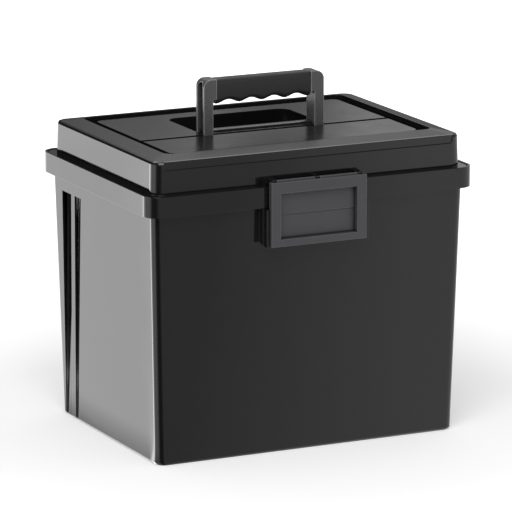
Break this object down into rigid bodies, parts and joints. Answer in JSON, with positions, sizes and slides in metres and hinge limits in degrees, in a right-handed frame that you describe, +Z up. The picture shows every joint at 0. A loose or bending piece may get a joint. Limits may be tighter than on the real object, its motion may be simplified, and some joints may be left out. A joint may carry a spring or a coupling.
{
  "type": "portable file box",
  "caption": "Rectangular lidded file box with hanging-folder rails, rear-hinged lid, front latch and fold-down bail handle with a soft grip.",
  "frame": {"origin": "bottom centre of the closed box, on the surface it stands on", "axes": "+X to the box's right seen from the front, +Y to the rear, +Z up"},
  "size_m": [0.35, 0.2794, 0.353],
  "materials": {
    "tub_plastic": "smooth glossy black moulding",
    "lid_plastic": "glossy black moulding with a lightly grained top",
    "latch_plastic": "satin dark grey moulding",
    "handle_plastic": "satin grey moulding",
    "grip_rubber": "soft matt grip",
    "pin_steel": "plain drawn wire"
  },
  "bodies": {
    "tub": {"tub": "tub_plastic", "left_hinge_pin": "pin_steel", "right_hinge_pin": "pin_steel"},
    "lid": {"lid": "lid_plastic", "latch_pin": "pin_steel", "left_handle_pin": "pin_steel", "right_handle_pin": "pin_steel"},
    "latch": {"latch_plate": "latch_plastic"},
    "handle": {"handle_frame": "handle_plastic", "handle_grip": "grip_rubber"}
  },
  "joints": [
    {"name": "lid_hinge", "type": "hinge", "parent": "tub", "child": "lid", "pos_m": [0, 0.1359, 0.2665], "axis": [-1, 0, 0], "range_deg": [0, 105]},
    {"name": "latch_hinge", "type": "hinge", "parent": "lid", "child": "latch", "pos_m": [0, -0.1332, 0.2709], "axis": [-1, 0, 0], "range_deg": [0, 90]},
    {"name": "handle_hinge", "type": "hinge", "parent": "lid", "child": "handle", "pos_m": [0, -0.0096, 0.294], "axis": [-1, 0, 0], "range_deg": [0, 90]}
  ]
}
